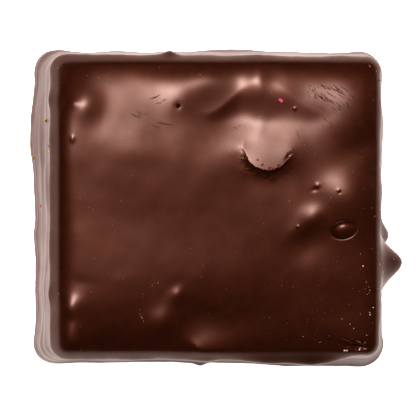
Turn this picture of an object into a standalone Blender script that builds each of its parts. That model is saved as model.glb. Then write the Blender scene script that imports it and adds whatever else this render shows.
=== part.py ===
"""Square marshmallow covered in dark chocolate: one solid, flat underneath, with a spread foot,
slightly splayed walls, soft shoulders and the lumps, hollows and drips of the hand-dipped coating.

The origin is at the middle of the underside, +Z is up, +X is the right side and +Y the far side
seen from above. The driving dimensions are in metres. The coating's features are in millimetres,
from the middle of the top's shoulder line, and the finished solid is centred over the origin.
"""

import math
from collections import namedtuple

import bmesh
import bpy
from mathutils import Matrix, Vector, noise

MM = 0.001

# One size for each side of the block
Sides = namedtuple("Sides", "left right far front")
# A swelling of the top, or a hollow where rise is negative: an elliptical soft mound
Swell = namedtuple("Swell", "x y length width turn rise")
# A tilted flap of the coating: its sheet, sunk at its far part and raised at its near part,
Sheet = namedtuple("Sheet", "x y facing grade axis_turn sunk_span raised_span deepest highest blend")
# the two scarps over its sunk part, which fall from a brow that is highest at the apex (x, y) to two
# foot lines; bite sets how soon they fall, and left and right how far the brow reaches,
Scarps = namedtuple(
    "Scarps", "x y left_turn right_turn left_foot right_foot least_run bite rise left right"
)
# and the lip where its raised part breaks off, along an elliptical arc round (x, y)
Lip = namedtuple("Lip", "x y length width facing half_span run drop fade")
# A closed air bubble: the upper part of an egg-shaped solid that is sunk in the top past its middle
Bubble = namedtuple("Bubble", "x y length width height turn sunk")
# A swelling of a wall, the shoulder or the foot, pushed outwards
Bulge = namedtuple("Bulge", "x y z along tall rise")
# A stretch of the top that takes a finer mesh: its middle and half-sides
Fine = namedtuple("Fine", "x y half_length half_width")

# Driving dimensions
HEIGHT = 22.0 * MM
TOP_LENGTH = 37.8 * MM  # along X, between the outer sides of the two shoulders
TOP_WIDTH = 34.7 * MM  # along Y
CORNER_RADIUS = 1.60 * MM  # of the upright edges, at the shoulder
SHOULDER_RUN = 0.90 * MM  # how far the rounded shoulder reaches over the top
SHOULDER_DROP = 1.3 * MM  # and down the wall
WALL_SPLAY = Sides(1.40 * MM, 1.15 * MM, 0.90 * MM, 0.85 * MM)  # how far the wall leans out to the foot
WALL_BELLY = Sides(-0.38 * MM, -0.12 * MM, -0.10 * MM, -0.10 * MM)  # hollow where negative
FOOT_HEIGHT = 3.2 * MM
FOOT_SPREAD = Sides(0.55 * MM, 0.35 * MM, 0.12 * MM, 0.30 * MM)  # where the coating pooled at the base
FOOT_EDGE = 0.8 * MM  # radius of the foot's lower rim
UNDERSIDE_INSET = 0.4 * MM

# Fall of the top towards its sides, in millimetres
CROWN = 0.80
ROLL_DEPTH = Sides(1.45, 0.60, 1.15, 0.70)
ROLL_RUN = Sides(0.95, 1.00, 1.30, 0.80)
FRONT_FALL = 1.90
FRONT_FALL_RUN = 4.6
FRONT_SWING = 0.8  # how far the front fall draws back on the right part of the top
FRONT_SWING_START = -1.0
FRONT_SWING_END = 4.5

# Fineness of the mesh
TOP_CELL = 0.92 * MM
CORNER_STEPS = 3  # cells between a straight side and the diagonal of its corner
SHOULDER_STEPS = 5
WALL_STEPS = 7
FOOT_STEPS = 4
RIM_STEPS = 2

# Slow unevenness of the whole coating, and the upright ribs of the runs down the walls
LUMP_SIZE = 6.5 * MM
LUMP_RISE = 0.06 * MM
SWELL_SIZE = 9.0 * MM
SWELL_RISE = 0.03 * MM
RIB_SIZE = 3.2 * MM
RIB_RISE = 0.14 * MM
RIB_STRETCH = 6

FLAP_SHEET = Sheet(3.2, 8.6, 118, 0.135, 108, 3.3, 6.8, 0.95, 0.75, 0.08)
FLAP_SCARPS = Scarps(5.2, 15.9, 46, -44, 9.35, 9.3, 1.5, 0.82, 0.42, 2.0, 5.2)
FLAP_LIP = Lip(5.8, 7.0, 2.8, 2.75, -98, 72, 0.50, 0.05, 2.2)

FLAP_LUMPS = [
    Swell(-1.2, 14.6, 2.2, 1.9, 0, 0.26),
    Swell(6.4, 15.2, 0.9, 1.2, 0, -0.09),
    Swell(15.6, 13.0, 4.2, 3.4, 0, 0.38),
    Swell(-0.4, 12.6, 1.9, 1.7, 30, -0.10),
    Swell(9.2, 6.2, 1.6, 1.5, 0, 0.09),
    Swell(3.3, 7.6, 0.9, 0.8, -30, -0.02),
    Swell(2.9, 4.2, 1.0, 0.6, -25, 0.05),
]
FAR_MOUNDS = [
    Swell(-8.0, 6.4, 3.4, 1.3, -8, 0.04),
    Swell(-6.5, 5.0, 6.0, 4.0, 0, 0.26),
    Swell(-12.5, 8.0, 3.5, 3.0, 0, 0.16),
    Swell(-9.4, -1.4, 2.4, 1.6, -20, -0.06),
    Swell(-4.6, 12.5, 1.5, 1.6, 20, 0.12),
    Swell(17.8, 12.0, 4.4, 3.8, 0, 0.33),
    Swell(15.0, 8.6, 2.6, 2.0, 0, 0.15),
    Swell(17.2, 7.4, 2.4, 1.2, 33, -0.22),
    Swell(15.4, 0.8, 2.6, 2.6, 0, 0.48),
    Swell(16.2, 2.6, 5.0, 3.0, -5, 0.27),
]
FAR_LEFT_LUMPS = [
    Swell(-18.4, 16.9, 2.8, 2.0, 45, -0.95),
    Swell(-15.3, 11.8, 1.25, 1.40, -20, 0.28),
    Swell(-18.6, 8.0, 2.0, 4.5, 0, 0.40),
    Swell(-11.5, 15.3, 3.0, 0.9, 5, -0.04),
    Swell(-5.0, 16.0, 2.2, 0.8, 0, -0.06),
]
RIGHT_LUMP = [
    Swell(10.9, -1.4, 1.15, 0.95, 36, 0.26),
    Swell(9.1, -2.8, 1.0, 0.65, 36, 0.09),
    Swell(10.2, -4.6, 1.7, 1.3, 20, -0.16),
    Swell(8.5, -13.0, 6.0, 6.0, 0, -0.50),
    Swell(15.5, -11.5, 2.5, 2.0, 0, -0.16),
]
LEFT_LUMPS = [
    Swell(-17.2, -11.6, 1.15, 1.05, 0, 0.34),
    Swell(-15.9, -8.6, 1.3, 0.5, -10, -0.03),
    Swell(-17.6, -12.9, 0.8, 0.5, 0, -0.10),
    Swell(-17.2, -16.4, 1.7, 2.4, 0, 1.00),
]
FRONT_LUMPS = [
    Swell(-4.5, -10.2, 0.70, 0.60, 60, 0.18),
    Swell(-6.3, -13.4, 1.45, 1.15, 45, 0.34),
    Swell(1.2, -8.0, 4.2, 2.3, 0, 0.11),
    Swell(-11.5, -10.0, 3.0, 2.4, 0, 0.07),
    Swell(-2.3, -12.6, 1.6, 1.4, 0, -0.20),
    Swell(2.0, -13.2, 3.2, 1.6, 0, -0.16),
    Swell(-1.0, -17.6, 2.2, 1.6, 0, 1.00),
]
TOP_SWELLS = FLAP_LUMPS + FAR_MOUNDS + FAR_LEFT_LUMPS + RIGHT_LUMP + LEFT_LUMPS + FRONT_LUMPS

AIR_BUBBLE = Bubble(14.55, -2.65, 1.42, 0.98, 0.75, 12, 0.20)
BUBBLE_SEGMENTS = 20
BUBBLE_RINGS = 12

SHOULDER_BULGES = [
    Bulge(-5.4, 17.3, 20.0, 0.6, 1.0, 0.55),
    Bulge(-18.9, 0.0, 20.8, 22.0, 1.6, 0.42),
    Bulge(-18.8, 12.4, 20.0, 0.7, 0.9, 0.25),
    Bulge(-18.8, -10.2, 20.0, 0.8, 0.9, 0.28),
    Bulge(-1.2, -17.2, 19.8, 1.2, 0.9, 0.45),
    Bulge(5.6, -17.4, 18.5, 2.7, 4.0, 0.66),
    Bulge(11.0, -17.4, 18.5, 2.5, 4.0, 0.78),
    Bulge(16.8, -17.4, 20.5, 1.6, 2.0, -0.30),
]
TAIL_BULGES = [
    Bulge(18.9, -6.3, 17.0, 1.35, 1.7, 2.50),
    Bulge(18.9, -8.0, 15.0, 1.2, 2.4, 0.70),
]
LEFT_BULGES = [
    Bulge(-19.6, 8.4, 1.5, 3.3, 3.4, 0.70),
    Bulge(-19.6, -3.3, 1.5, 1.2, 2.4, 0.35),
    Bulge(-19.4, -11.0, 10.5, 2.4, 2.6, 0.25),
    Bulge(-19.4, 2.0, 12.0, 1.6, 2.0, -0.20),
    Bulge(-19.0, 17.6, 1.2, 1.3, 2.0, 0.55),
]
RIGHT_BULGES = [
    Bulge(19.6, -3.3, 1.2, 0.9, 1.6, 1.20),
    Bulge(19.4, 8.5, 9.0, 2.6, 3.2, 0.30),
    Bulge(19.6, -14.0, 1.5, 2.0, 2.2, -0.25),
]
FAR_BULGES = [
    Bulge(2.5, 18.3, 1.0, 3.2, 1.6, 0.40),
    Bulge(-10.5, 18.3, 1.0, 3.6, 1.4, 0.20),
]
FRONT_BULGES = [
    Bulge(12.5, -18.2, 1.6, 4.6, 3.0, 0.50),
    Bulge(-1.2, -18.2, 1.4, 0.5, 1.8, 0.40),
    Bulge(-11.0, -18.0, 9.5, 2.4, 2.6, 0.25),
]
# The foot runs out square at three of its corners and round at the far left one
CORNER_BULGES = [
    Bulge(19.0, 17.2, 1.0, 1.6, 5.0, 0.25),
    Bulge(19.0, -17.4, 1.0, 1.6, 5.0, 0.50),
    Bulge(-19.4, -17.2, 1.0, 1.6, 5.0, 0.45),
]
BULGES = (
    SHOULDER_BULGES + TAIL_BULGES + LEFT_BULGES + RIGHT_BULGES + FAR_BULGES + FRONT_BULGES + CORNER_BULGES
)

FINE_STRETCHES = [
    Fine(5.6, 7.0, 4.2, 4.0),
    Fine(-15.9, -11.4, 1.6, 1.9),
    Fine(10.2, -2.2, 2.4, 2.0),
]

CHOCOLATE = (0.070, 0.024, 0.013, 1.0)
CHOCOLATE_ROUGHNESS = 0.32


def clear_scene():
    for old in list(bpy.data.objects):
        bpy.data.objects.remove(old)


def chocolate_material():
    material = bpy.data.materials.new("dark_chocolate")
    material.use_nodes = True
    shader = material.node_tree.nodes["Principled BSDF"]
    shader.inputs["Base Color"].default_value = CHOCOLATE
    shader.inputs["Roughness"].default_value = CHOCOLATE_ROUGHNESS
    shader.inputs["Metallic"].default_value = 0.0
    return material


def smooth_share(value, low, high):
    """0 below low, 1 above high, with a soft change between them."""
    share = min(1.0, max(0.0, (value - low) / (high - low)))
    return share * share * (3 - 2 * share)


def stations(half_side):
    """Places across the top, as (coordinate on the rectangle inside the corners, share into a corner)."""
    core = half_side - CORNER_RADIUS
    count = round(2 * core / TOP_CELL)
    shares = [step / CORNER_STEPS for step in range(1, CORNER_STEPS + 1)]
    places = [(-core, -share) for share in reversed(shares)]
    places += [(core * (2 * i / count - 1), 0.0) for i in range(count + 1)]
    places += [(core, share) for share in shares]
    return places


def corner_direction(share_x, share_y):
    """Outward direction and share of the way out, with the square of a corner turned into an arc."""
    wide, deep = abs(share_x), abs(share_y)
    reach = max(wide, deep)
    if reach == 0:
        return Vector((0, 0)), 0.0
    if wide >= deep:
        angle = math.pi / 4 * deep / wide
    else:
        angle = math.pi / 2 - math.pi / 4 * wide / deep
    return Vector((math.copysign(math.cos(angle), share_x), math.copysign(math.sin(angle), share_y))), reach


def side_profile():
    """Rings down the side: (inset, share of the splay, of the belly and of the foot's spread, height)."""
    profile = []
    for i in range(1, SHOULDER_STEPS + 1):
        angle = math.pi / 2 * i / SHOULDER_STEPS
        drop = SHOULDER_DROP * (1 - math.cos(angle))
        profile.append((SHOULDER_RUN * (1 - math.sin(angle)), 0.0, 0.0, 0.0, HEIGHT - drop))
    wall_top = HEIGHT - SHOULDER_DROP
    for i in range(1, WALL_STEPS + 1):
        down = i / WALL_STEPS
        height = wall_top + (FOOT_HEIGHT - wall_top) * down
        profile.append((0.0, down, math.sin(math.pi * down), 0.0, height))
    for i in range(1, FOOT_STEPS + 1):
        down = i / FOOT_STEPS
        height = FOOT_HEIGHT + (FOOT_EDGE - FOOT_HEIGHT) * down
        profile.append((0.0, 1.0, 0.0, smooth_share(down, 0, 1), height))
    for i in range(1, RIM_STEPS + 1):
        angle = math.pi / 2 * i / RIM_STEPS
        inset = UNDERSIDE_INSET * (1 - math.cos(angle))
        profile.append((inset, 1.0, 0.0, 1.0, FOOT_EDGE * (1 - math.sin(angle))))
    return profile


def turned(feature, x, y):
    """(x, y) along and across a turned elliptical feature, in its own half-sizes."""
    turn = math.radians(feature.turn)
    dx, dy = x / MM - feature.x, y / MM - feature.y
    along = dx * math.cos(turn) + dy * math.sin(turn)
    across = dy * math.cos(turn) - dx * math.sin(turn)
    return along / feature.length, across / feature.width


def swell_height(swell, x, y):
    along, across = turned(swell, x, y)
    return swell.rise * math.exp(-(along * along + across * across) / 2)


def sheet_height(x, y):
    """Height of the flap's tilted sheet and of the brow over its scarps, not yet cut off by its lip."""
    facing, axis = math.radians(FLAP_SHEET.facing), math.radians(FLAP_SHEET.axis_turn)
    dx, dy = x / MM - FLAP_SHEET.x, y / MM - FLAP_SHEET.y
    plane = -FLAP_SHEET.grade * (dx * math.cos(facing) + dy * math.sin(facing))
    across = dx * math.sin(axis) - dy * math.cos(axis)
    limit = FLAP_SHEET.deepest if plane < 0 else FLAP_SHEET.highest
    plane = plane / (1 + (plane / limit) ** 4) ** 0.25
    raised = (plane + math.hypot(plane, FLAP_SHEET.blend)) / 2
    height = raised * math.exp(-((across / FLAP_SHEET.raised_span) ** 2))
    height += (plane - raised) * math.exp(-((across / FLAP_SHEET.sunk_span) ** 2))
    side_turns = FLAP_SCARPS.left_turn, FLAP_SCARPS.right_turn
    side_feet = FLAP_SCARPS.left_foot, FLAP_SCARPS.right_foot
    from_apex = x / MM - FLAP_SCARPS.x
    below = 1.0
    for turn, foot in zip(side_turns, side_feet):
        brow = FLAP_SCARPS.y + from_apex * math.tan(math.radians(turn))
        run = math.hypot(brow - foot, FLAP_SCARPS.least_run)
        below *= smooth_share(foot + run - y / MM, 0, run)
    below **= FLAP_SCARPS.bite
    brow_reach = FLAP_SCARPS.left if from_apex < 0 else FLAP_SCARPS.right
    upper = FLAP_SCARPS.rise * math.exp(-((from_apex / brow_reach) ** 2))
    return height * below + upper * (1 - below)


def flap_height(x, y):
    """Height of the tilted flap, which breaks off at its lip."""
    dx, dy = x / MM - FLAP_LIP.x, y / MM - FLAP_LIP.y
    aside = (math.degrees(math.atan2(dy, dx)) - FLAP_LIP.facing + 180) % 360 - 180
    past = (math.hypot(dx / FLAP_LIP.length, dy / FLAP_LIP.width) - 1) * FLAP_LIP.width
    past = max(past, 0)
    fallen = (1 - math.exp(-past / FLAP_LIP.run)) * math.exp(-((aside / FLAP_LIP.half_span) ** 4))
    return sheet_height(x, y) * (1 - fallen) - FLAP_LIP.drop * fallen * math.exp(-past / FLAP_LIP.fade)


def roll_depth(x, y):
    """How far the top has sunk on its way to the shoulders, with its long fall to the front."""
    from_left, from_right = (TOP_LENGTH / 2 + x) / MM, (TOP_LENGTH / 2 - x) / MM
    from_far = (TOP_WIDTH / 2 - y) / MM
    swing = FRONT_SWING * smooth_share(x / MM, FRONT_SWING_START, FRONT_SWING_END)
    from_front = (TOP_WIDTH / 2 + y) / MM + swing
    depth = FRONT_FALL * math.exp(-max(from_front, 0) / FRONT_FALL_RUN)
    reaches = Sides(from_left, from_right, from_far, from_front)
    for reach, deep, run in zip(reaches, ROLL_DEPTH, ROLL_RUN):
        depth += deep * math.exp(-max(reach, 0) / run)
    return depth


def lump(point):
    return LUMP_RISE * noise.noise(point / LUMP_SIZE)


def top_lift(x, y):
    """Height of the lumpy top above its plane."""
    across, deep = 2 * x / TOP_LENGTH, 2 * y / TOP_WIDTH
    forms = sum(swell_height(swell, x, y) for swell in TOP_SWELLS) + flap_height(x, y)
    crown = CROWN * (across**4 + deep**4) / 4
    unevenness = SWELL_RISE * noise.noise(Vector((x, y, HEIGHT)) / SWELL_SIZE)
    return (forms - crown - roll_depth(x, y)) * MM + unevenness


def bulge_out(bulge, point):
    """Outward push of one bulge: along is its reach round the side, and tall its reach up and down."""
    level = math.hypot(point.x / MM - bulge.x, point.y / MM - bulge.y) / bulge.along
    upright = (point.z / MM - bulge.z) / bulge.tall
    return bulge.rise * MM * math.exp(-(level * level + upright * upright) / 2)


def side_push(point):
    """Outward push of the shoulder, wall and foot: their bulges, slow unevenness and upright ribs."""
    streak = Vector((point.x, point.y, point.z / RIB_STRETCH)) / RIB_SIZE
    return sum(bulge_out(bulge, point) for bulge in BULGES) + lump(point) + RIB_RISE * noise.noise(streak)


def towards(sides, outward):
    """The size that this side has, or a blend of two round a corner."""
    along_x = sides.right if outward.x > 0 else sides.left
    along_y = sides.far if outward.y > 0 else sides.front
    return along_x * outward.x**2 + along_y * outward.y**2


def shaped(core, outward, offset, height):
    """Final place of a vertex from its place on the plain block."""
    plain = Vector((core.x + outward.x * offset, core.y + outward.y * offset, height))
    push = side_push(plain) * smooth_share(HEIGHT - height, 0.0, SHOULDER_DROP)
    lift = top_lift(plain.x, plain.y) * smooth_share(height, HEIGHT / 3, HEIGHT - SHOULDER_DROP)
    return plain + Vector((outward.x * push, outward.y * push, lift))


def station_at(places, share):
    """The place that is this share of the way across a list of stations, between two of them if need be."""
    spot = share * (len(places) - 1)
    below = min(int(spot), len(places) - 2)
    return [a + (b - a) * (spot - below) for a, b in zip(places[below], places[below + 1])]


def place_on_top(co):
    """A point of the unit grid as its core point, outward direction, offset and height on the block."""
    core_x, share_x = station_at(stations(TOP_LENGTH / 2), (co.x + 1) / 2)
    core_y, share_y = station_at(stations(TOP_WIDTH / 2), (co.y + 1) / 2)
    outward, share = corner_direction(share_x, share_y)
    return Vector((core_x, core_y)), outward, share * (CORNER_RADIUS - SHOULDER_RUN), HEIGHT


def needs_fine_mesh(face):
    """Whether a face of the top lies on a fine stretch, clear of the rim."""
    middle = place_on_top(face.calc_center_median())[0] / MM
    for stretch in FINE_STRETCHES:
        inside_x = abs(middle.x - stretch.x) < stretch.half_length
        inside_y = abs(middle.y - stretch.y) < stretch.half_width
        if inside_x and inside_y:
            return not any(vertex.is_boundary for vertex in face.verts)
    return False


def top_sheet(mesh):
    """The top as a grid with rounded corners; returns each vertex's place on the plain block."""
    cells_x = len(stations(TOP_LENGTH / 2)) - 1
    cells_y = len(stations(TOP_WIDTH / 2)) - 1
    bmesh.ops.create_grid(mesh, x_segments=cells_x, y_segments=cells_y, size=1)
    halved = {edge for face in mesh.faces if needs_fine_mesh(face) for edge in face.edges}
    bmesh.ops.subdivide_edges(mesh, edges=list(halved), cuts=1, use_grid_fill=True)
    return {vertex: place_on_top(vertex.co) for vertex in mesh.verts}


def add_side(mesh, places):
    """Runs the top's rim down the shoulder, wall and foot, and closes the underside with one face."""
    rim = [edge for edge in mesh.edges if edge.is_boundary]
    for inset, splay, belly, foot, height in side_profile():
        made = bmesh.ops.extrude_edge_only(mesh, edges=rim)["geom"]
        fresh = {item for item in made if isinstance(item, bmesh.types.BMVert)}
        for vertex in fresh:
            neighbours = [edge.other_vert(vertex) for edge in vertex.link_edges]
            above = next(other for other in neighbours if other not in fresh)
            core, outward, _, _ = places[above]
            lean = splay * towards(WALL_SPLAY, outward) + belly * towards(WALL_BELLY, outward)
            lean += foot * towards(FOOT_SPREAD, outward)
            places[vertex] = (core, outward, CORNER_RADIUS - inset + lean, height)
        edges = [item for item in made if isinstance(item, bmesh.types.BMEdge)]
        rim = [edge for edge in edges if all(vertex in fresh for vertex in edge.verts)]
    bmesh.ops.edgeloop_fill(mesh, edges=rim)


def object_from(name, mesh, material):
    bmesh.ops.recalc_face_normals(mesh, faces=mesh.faces)
    data = bpy.data.meshes.new(name)
    mesh.to_mesh(data)
    mesh.free()
    data.materials.append(material)
    data.shade_smooth()
    made = bpy.data.objects.new(name, data)
    bpy.context.scene.collection.objects.link(made)
    return made


def coated_block(name, material):
    mesh = bmesh.new()
    places = top_sheet(mesh)
    add_side(mesh, places)
    for vertex, place in places.items():
        vertex.co = shaped(*place)
    return object_from(name, mesh, material)


def raise_bubble(block, bubble, material):
    """Joins a bubble's egg-shaped solid to the block, as a guide that a Boolean union reads."""
    mesh = bmesh.new()
    bmesh.ops.create_uvsphere(mesh, u_segments=BUBBLE_SEGMENTS, v_segments=BUBBLE_RINGS, radius=MM)
    bmesh.ops.scale(mesh, vec=(bubble.length, bubble.width, bubble.height), verts=mesh.verts)
    bmesh.ops.rotate(mesh, matrix=Matrix.Rotation(math.radians(bubble.turn), 3, "Z"), verts=mesh.verts)
    x, y = bubble.x * MM, bubble.y * MM
    level = HEIGHT + top_lift(x, y) - bubble.sunk * MM
    bmesh.ops.translate(mesh, vec=(x, y, level), verts=mesh.verts)
    egg = object_from("bubble_guide", mesh, material)
    egg.hide_render = True
    egg.display_type = "WIRE"
    join = block.modifiers.new("bubble", "BOOLEAN")
    join.operation = "UNION"
    join.solver = "EXACT"
    join.object = egg
    return egg


def centre_over_origin(block, others):
    """Moves the meshes together, so that the middle of the block's outline is over the origin."""
    places = [vertex.co for vertex in block.data.vertices]
    low_x, high_x = min(co.x for co in places), max(co.x for co in places)
    low_y, high_y = min(co.y for co in places), max(co.y for co in places)
    shift = Matrix.Translation((-(low_x + high_x) / 2, -(low_y + high_y) / 2, 0))
    for made in [block, *others]:
        made.data.transform(shift)


clear_scene()
chocolate = chocolate_material()
marshmallow = coated_block("chocolate_marshmallow", chocolate)
bubble_guide = raise_bubble(marshmallow, AIR_BUBBLE, chocolate)
centre_over_origin(marshmallow, [bubble_guide])
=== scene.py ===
"""A square marshmallow in dark chocolate, seen from almost straight above on a white table.

The coating is one mesh: a plain block with rounded shoulders and a spread foot, onto which the
hand-dipped coating's mounds, hollows, drips and creases are raised. Sugar specks, tinted crumbs,
broken flakes and fine scratches lie on it, one piece for each kind. A few pale dashes among the
specks are painted glints.
"""

import logging
import math
import random
from dataclasses import dataclass, field
from enum import Enum
from typing import Sequence

import bmesh
import bpy
import numpy as np
from mathutils import Matrix, Quaternion, Vector, noise
from mathutils.bvhtree import BVHTree


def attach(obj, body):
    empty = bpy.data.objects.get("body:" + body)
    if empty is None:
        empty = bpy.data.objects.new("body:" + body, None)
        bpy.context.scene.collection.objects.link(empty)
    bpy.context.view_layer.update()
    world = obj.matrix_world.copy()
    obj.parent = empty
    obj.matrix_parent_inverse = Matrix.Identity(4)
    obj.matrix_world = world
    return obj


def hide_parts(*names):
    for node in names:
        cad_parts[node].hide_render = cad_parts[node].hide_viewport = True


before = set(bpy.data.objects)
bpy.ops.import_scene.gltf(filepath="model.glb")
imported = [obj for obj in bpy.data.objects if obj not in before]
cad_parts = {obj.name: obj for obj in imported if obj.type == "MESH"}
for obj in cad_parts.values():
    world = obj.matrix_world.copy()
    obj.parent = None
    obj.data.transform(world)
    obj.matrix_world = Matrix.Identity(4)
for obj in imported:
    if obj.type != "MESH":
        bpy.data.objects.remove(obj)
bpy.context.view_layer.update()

log = logging.getLogger("marshmallow")

MM = 0.001
PICTURE_PIXELS = 416
PIXEL = 0.115 * MM  # the real size of a pixel at the top's plane
BODY = "root"
NODE = "chocolate_marshmallow"

# Where smooth noise of 0 to 1 has most of its values
NOISE_LOW = 0.3
NOISE_HIGH = 0.7


def smooth_share(value: np.ndarray, low: float, high: float) -> np.ndarray:
    """Gives 0 below low and 1 above high, with a soft change between them.

    Args:
        value: The values to place between the two limits.
        low: Where the share starts to rise.
        high: Where it is whole.

    Returns:
        The share of each value, from 0 to 1.
    """
    share = np.clip((value - low) / (high - low), 0.0, 1.0)
    return share * share * (3 - 2 * share)


def noise_at(points: np.ndarray, size: float, stretch: Sequence[float] = (1, 1, 1)) -> np.ndarray:
    """Reads smooth noise at many points.

    Args:
        points: One row of x, y and z for each point.
        size: The size of the noise's lumps, in the points' own unit.
        stretch: How many times longer the lumps are along each axis.

    Returns:
        One value for each point, from about -1 to 1.
    """
    scaled = points / (size * np.array(stretch, float))
    return np.array([noise.noise(Vector(point)) for point in scaled])


def mesh_data(name: str, mesh: bmesh.types.BMesh) -> bpy.types.Mesh:
    """Turns a finished shape into mesh data.

    Args:
        name: The data's name.
        mesh: The shape, which is freed.

    Returns:
        The mesh data.
    """
    data = bpy.data.meshes.new(name)
    mesh.to_mesh(data)
    mesh.free()
    return data


def linked(name: str, data: bpy.types.ID) -> bpy.types.Object:
    """Puts a new object in the scene.

    Args:
        name: The object's name.
        data: Its mesh, light or camera.

    Returns:
        The object, at the origin.
    """
    made = bpy.data.objects.new(name, data)
    bpy.context.scene.collection.objects.link(made)
    return made


@dataclass(frozen=True)
class Swell:
    """A soft elliptical mound of the top, or a hollow where rise is negative, in millimetres."""

    x: float
    y: float
    length: float
    width: float
    turn: float
    rise: float

    def height(self, x: np.ndarray, y: np.ndarray) -> np.ndarray:
        """Gives the mound's height at points of the top.

        Args:
            x: The points' places along X.
            y: The points' places along Y.

        Returns:
            The height at each point.
        """
        along, across = turned(self, x, y)
        return self.rise * np.exp(-(along**2 + across**2) / 2)


@dataclass(frozen=True)
class Flap:
    """A tilted flap of coating, in millimetres and degrees.

    Its sheet falls towards facing, as steeply as grade says, from its highest to its deepest, and spans
    raised_span and sunk_span across an axis turned by axis_turn. Its far part is sunk below two scarps. They
    fall from a brow that is highest at the apex to two foot lines, over least_run or more. The brow's bite
    sets how soon they fall, and its left and right how far it reaches. The sheet's near part is raised, and
    breaks off at the lip, along an elliptical arc.
    """

    apex_x: float
    apex_y: float
    left_turn: float
    right_turn: float
    left_foot: float
    right_foot: float
    least_run: float
    brow_rise: float
    brow_bite: float
    brow_left: float
    brow_right: float
    middle_x: float
    middle_y: float
    facing: float
    grade: float
    axis_turn: float
    sunk_span: float
    raised_span: float
    deepest: float
    highest: float
    blend: float
    lip_x: float
    lip_y: float
    lip_length: float
    lip_width: float
    lip_facing: float
    lip_half_span: float
    lip_run: float
    lip_drop: float
    lip_fade: float
    rough: float
    limit_power: int = 4  # how sharply the sheet turns level at its highest and its deepest
    rough_layers: Sequence[tuple[float, float]] = ((1.3, 2.5), (0.45, 1.0), (0.17, 1.0))  # size, strength

    def sheet(self, x: np.ndarray, y: np.ndarray) -> np.ndarray:
        """Gives the height of the tilted sheet, without its lip, at points of the top.

        Args:
            x: The points' places along X.
            y: The points' places along Y.

        Returns:
            The height at each point.
        """
        facing, axis = math.radians(self.facing), math.radians(self.axis_turn)
        dx, dy = x - self.middle_x, y - self.middle_y
        plane = -self.grade * (dx * math.cos(facing) + dy * math.sin(facing))
        across = dx * math.sin(axis) - dy * math.cos(axis)
        limit = np.where(plane < 0, self.deepest, self.highest)
        plane = plane / (1 + (plane / limit) ** self.limit_power) ** (1 / self.limit_power)
        raised = (plane + np.sqrt(plane**2 + self.blend**2)) / 2
        sheet = raised * np.exp(-((across / self.raised_span) ** 2))
        sheet = sheet + (plane - raised) * np.exp(-((across / self.sunk_span) ** 2))
        below = np.ones_like(x)
        for turn, foot in ((self.left_turn, self.left_foot), (self.right_turn, self.right_foot)):
            brow = self.apex_y + (x - self.apex_x) * math.tan(math.radians(turn))
            run = np.hypot(brow - foot, self.least_run)
            below = below * smooth_share((foot + run - y) / run, 0.0, 1.0)
        below = below**self.brow_bite
        span = np.where(x < self.apex_x, self.brow_left, self.brow_right)
        upper = self.brow_rise * np.exp(-(((x - self.apex_x) / span) ** 2))
        return sheet * below + upper * (1 - below)

    def height(self, x: np.ndarray, y: np.ndarray) -> np.ndarray:
        """Gives the flap's height, with its broken lip, at points of the top.

        Args:
            x: The points' places along X.
            y: The points' places along Y.

        Returns:
            The height at each point.
        """
        dx, dy = x - self.lip_x, y - self.lip_y
        flat = np.column_stack((x, y, np.zeros_like(x)))
        ragged = self.rough * sum(strength * noise_at(flat, size) for size, strength in self.rough_layers)
        past = (np.hypot(dx / self.lip_length, dy / self.lip_width) - 1) * self.lip_width - ragged
        past = np.maximum(past, 0)
        aside = (np.degrees(np.arctan2(dy, dx)) - self.lip_facing + 180) % 360 - 180
        fallen = (1 - np.exp(-past / self.lip_run)) * np.exp(-((aside / self.lip_half_span) ** 4))
        return self.sheet(x, y) * (1 - fallen) - self.lip_drop * fallen * np.exp(-past / self.lip_fade)


@dataclass(frozen=True)
class Ring:
    """A thin round ridge, or a crease where rise is negative, in millimetres.

    It runs round from its middle for half_span each way, in degrees, and fades there.
    """

    x: float
    y: float
    length: float
    width: float
    turn: float
    line: float
    rise: float
    middle: float = 0.0
    half_span: float = 400.0

    def height(self, x: np.ndarray, y: np.ndarray) -> np.ndarray:
        """Gives the ridge's height at points of the top.

        Args:
            x: The points' places along X.
            y: The points' places along Y.

        Returns:
            The height at each point.
        """
        along, across = turned(self, x, y)
        reach = np.hypot(along, across)
        aside = (np.degrees(np.arctan2(across, along)) - self.middle + 180) % 360 - 180
        off_line = (reach - 1) * min(self.length, self.width) / self.line
        return self.rise * np.exp(-(off_line**2) / 2) * np.exp(-((aside / self.half_span) ** 4))


@dataclass(frozen=True)
class Dome:
    """A closed air bubble: a round-edged dome that stands in a narrow crease, in millimetres."""

    x: float
    y: float
    length: float
    width: float
    turn: float
    rise: float
    crease: float
    crease_reach: float = 1.06
    crease_width: float = 0.10

    def height(self, x: np.ndarray, y: np.ndarray) -> np.ndarray:
        """Gives the dome's height, and its crease's depth, at points of the top.

        Args:
            x: The points' places along X.
            y: The points' places along Y.

        Returns:
            The height at each point.
        """
        along, across = turned(self, x, y)
        reach = np.hypot(along, across)
        dome = self.rise * np.sqrt(np.clip(1 - reach**2, 0, 1))
        return dome - self.crease * np.exp(-(((reach - self.crease_reach) / self.crease_width) ** 2))


def turned(feature: "Swell | Ring | Dome", x: np.ndarray,
           y: np.ndarray) -> tuple[np.ndarray, np.ndarray]:
    """Places points in a feature's own turned frame.

    Args:
        feature: The feature, with its middle, its half-sizes and its turn in degrees.
        x: The points' places along X.
        y: The points' places along Y.

    Returns:
        The places along and across the feature, in its own half-sizes.
    """
    turn = math.radians(feature.turn)
    dx, dy = x - feature.x, y - feature.y
    along = dx * math.cos(turn) + dy * math.sin(turn)
    across = dy * math.cos(turn) - dx * math.sin(turn)
    return along / feature.length, across / feature.width


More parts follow.
